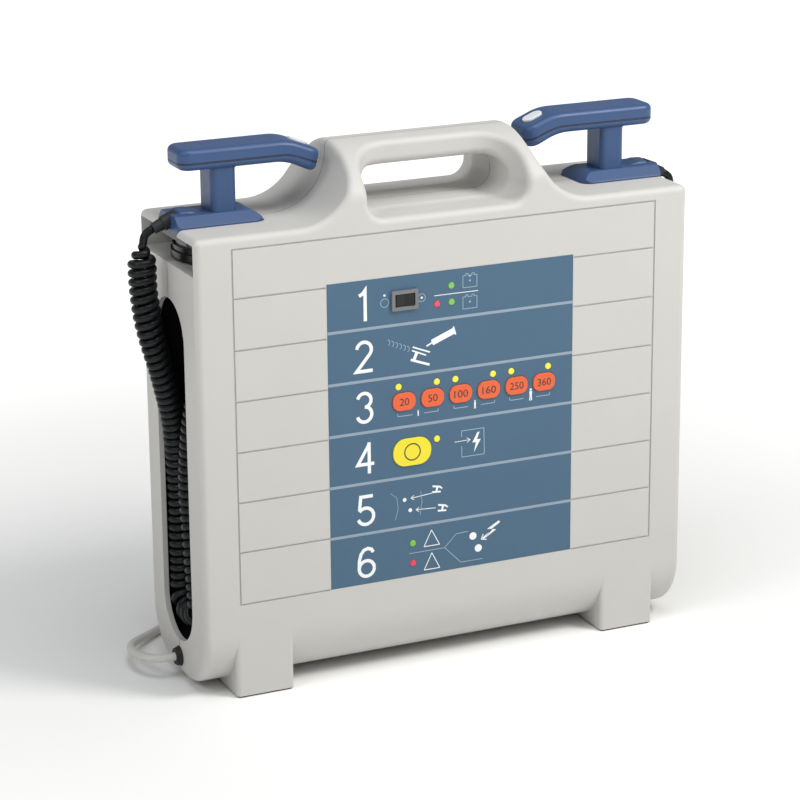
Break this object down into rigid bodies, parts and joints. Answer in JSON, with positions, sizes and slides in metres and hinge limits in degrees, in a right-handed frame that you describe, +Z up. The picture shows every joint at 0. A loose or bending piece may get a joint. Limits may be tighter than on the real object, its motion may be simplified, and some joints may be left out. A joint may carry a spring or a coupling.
{
  "type": "portable defibrillator",
  "caption": "Portable defibrillator: upright case with carry handle, numbered control panel, and two paddles on curly cords that slide into the top corners.",
  "frame": {"origin": "on the floor, below the middle of the case", "axes": "+X to the operator's right, +Y away from the operator (front panel faces -Y), +Z up"},
  "size_m": [0.4546, 0.2126, 0.4046],
  "materials": {
    "case_plastic": "fine moulded texture",
    "black_rubber": "matt",
    "overlay_blue": "printed sheet, satin",
    "key_yellow": "satin",
    "key_orange": "satin",
    "switch_grey": "satin",
    "black_plastic": "smooth",
    "lamp_green": "clear coloured lens",
    "lamp_yellow": "clear coloured lens",
    "lamp_red": "clear coloured lens",
    "circuit_board": "solder mask",
    "aluminium_sheet": "mill finish",
    "capacitor_can": "smooth",
    "zinc_steel": "zinc plated",
    "winding_copper": "enamelled winding",
    "battery_wrap": "heat-shrunk sleeve",
    "relay_plastic": "clear housing",
    "lead_grey": "satin sheath",
    "paddle_blue": "fine satin texture",
    "neck_steel": "turned",
    "electrode_steel": "polished",
    "button_white": "satin",
    "liner_black": "ribbed, matt",
    "cord_black": "polyurethane sheath",
    "contact_brass": "plated"
  },
  "bodies": {
    "case": {"battery_pack": "battery_wrap", "cable_liner_left": "liner_black", "cable_liner_right": "liner_black", "capacitor_strap": "zinc_steel", "case_screws": "zinc_steel", "charging_transformer": "zinc_steel", "chassis_plate": "aluminium_sheet", "control_overlay": "overlay_blue", "cord_socket_left": "black_plastic", "cord_socket_right": "black_plastic", "curly_cord_left_hanging": "cord_black", "curly_cord_left_stored": "cord_black", "curly_cord_right_hanging": "cord_black", "curly_cord_right_stored": "cord_black", "discharge_inductor": "winding_copper", "discharge_relay": "relay_plastic", "foot_pads": "black_rubber", "front_shell": "case_plastic", "keypad_board": "circuit_board", "lamps_green": "lamp_green", "lamps_red": "lamp_red", "lamps_yellow": "lamp_yellow", "main_board": "circuit_board", "mains_gland": "black_rubber", "mains_lead": "lead_grey", "mains_lead_coil": "lead_grey", "mains_lead_end": "lead_grey", "mains_plug": "lead_grey", "power_switch_frame": "switch_grey", "rear_shell": "case_plastic", "storage_capacitor": "capacitor_can", "test_contact_left": "contact_brass", "test_contact_right": "contact_brass"},
    "paddle_left": {"base_cover_left": "paddle_blue", "cable_boot_left": "black_rubber", "electrode_carrier_left": "black_plastic", "electrode_neck_left": "neck_steel", "electrode_plate_left": "electrode_steel", "electrode_rim_left": "black_plastic", "grip_lower_left": "paddle_blue", "grip_upper_left": "paddle_blue"},
    "button_left": {"discharge_button_left": "button_white"},
    "paddle_right": {"base_cover_right": "paddle_blue", "cable_boot_right": "black_rubber", "electrode_carrier_right": "black_plastic", "electrode_neck_right": "neck_steel", "electrode_plate_right": "electrode_steel", "electrode_rim_right": "black_plastic", "grip_lower_right": "paddle_blue", "grip_upper_right": "paddle_blue"},
    "button_right": {"discharge_button_right": "button_white"},
    "rocker": {"power_rocker": "black_plastic"},
    "key_100": {"energy_key_100": "key_orange"},
    "key_160": {"energy_key_160": "key_orange"},
    "key_20": {"energy_key_20": "key_orange"},
    "key_250": {"energy_key_250": "key_orange"},
    "key_360": {"energy_key_360": "key_orange"},
    "key_50": {"energy_key_50": "key_orange"},
    "charge_key": {"charge_key": "key_yellow"}
  },
  "joints": [
    {"name": "paddle_left_pull", "type": "slide", "parent": "case", "child": "paddle_left", "axis": [-1, 0, 0], "range_m": [0, 0.09], "deforming": ["curly_cord_left_hanging"]},
    {"name": "paddle_right_pull", "type": "slide", "parent": "case", "child": "paddle_right", "axis": [1, 0, 0], "range_m": [0, 0.09], "deforming": ["curly_cord_right_hanging"]},
    {"name": "discharge_left_press", "type": "slide", "parent": "paddle_left", "child": "button_left", "axis": [-0.3746, 0, -0.9272], "range_m": [0, 0.0012], "stiffness_N_per_m": 1000},
    {"name": "discharge_right_press", "type": "slide", "parent": "paddle_right", "child": "button_right", "axis": [0.3746, 0, -0.9272], "range_m": [0, 0.0012], "stiffness_N_per_m": 1000},
    {"name": "power_tip", "type": "hinge", "parent": "case", "child": "rocker", "pos_m": [-0.0372, -0.0537, 0.288], "axis": [0, 0, 1], "range_deg": [0, 11]},
    {"name": "key_100_press", "type": "slide", "parent": "case", "child": "key_100", "axis": [0, 1, 0], "range_m": [0, 0.0007], "stiffness_N_per_m": 1000},
    {"name": "key_160_press", "type": "slide", "parent": "case", "child": "key_160", "axis": [0, 1, 0], "range_m": [0, 0.0007], "stiffness_N_per_m": 1000},
    {"name": "key_20_press", "type": "slide", "parent": "case", "child": "key_20", "axis": [0, 1, 0], "range_m": [0, 0.0007], "stiffness_N_per_m": 1000},
    {"name": "key_250_press", "type": "slide", "parent": "case", "child": "key_250", "axis": [0, 1, 0], "range_m": [0, 0.0007], "stiffness_N_per_m": 1000},
    {"name": "key_360_press", "type": "slide", "parent": "case", "child": "key_360", "axis": [0, 1, 0], "range_m": [0, 0.0007], "stiffness_N_per_m": 1000},
    {"name": "key_50_press", "type": "slide", "parent": "case", "child": "key_50", "axis": [0, 1, 0], "range_m": [0, 0.0007], "stiffness_N_per_m": 1000},
    {"name": "charge_key_press", "type": "slide", "parent": "case", "child": "charge_key", "axis": [0, 1, 0], "range_m": [0, 0.0007], "stiffness_N_per_m": 1000}
  ]
}
